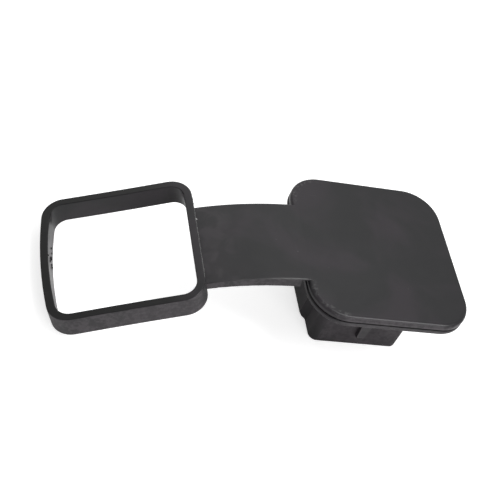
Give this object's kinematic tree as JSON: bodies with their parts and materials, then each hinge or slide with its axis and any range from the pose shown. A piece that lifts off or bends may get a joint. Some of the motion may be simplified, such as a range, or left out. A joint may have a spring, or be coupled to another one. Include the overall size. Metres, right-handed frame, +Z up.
{
  "type": "hitch receiver cover",
  "caption": "Soft rubber cover for a square towing receiver: a round-edged cap with a hollow plug, joined by a flat strap to a square retaining loop.",
  "frame": {"origin": "middle of the bounding box's base, level with the plug's open rim and the loop's far lower edge, on which the cover rests", "axes": "+X from the loop to the cap, +Y across the cover, +Z up out of the cap's top"},
  "size_m": [0.1958, 0.086, 0.044],
  "materials": {
    "rubber": "satin black moulded rubber with a fine grain"
  },
  "bodies": {
    "root": {"receiver_cover": "rubber"}
  },
  "joints": []
}
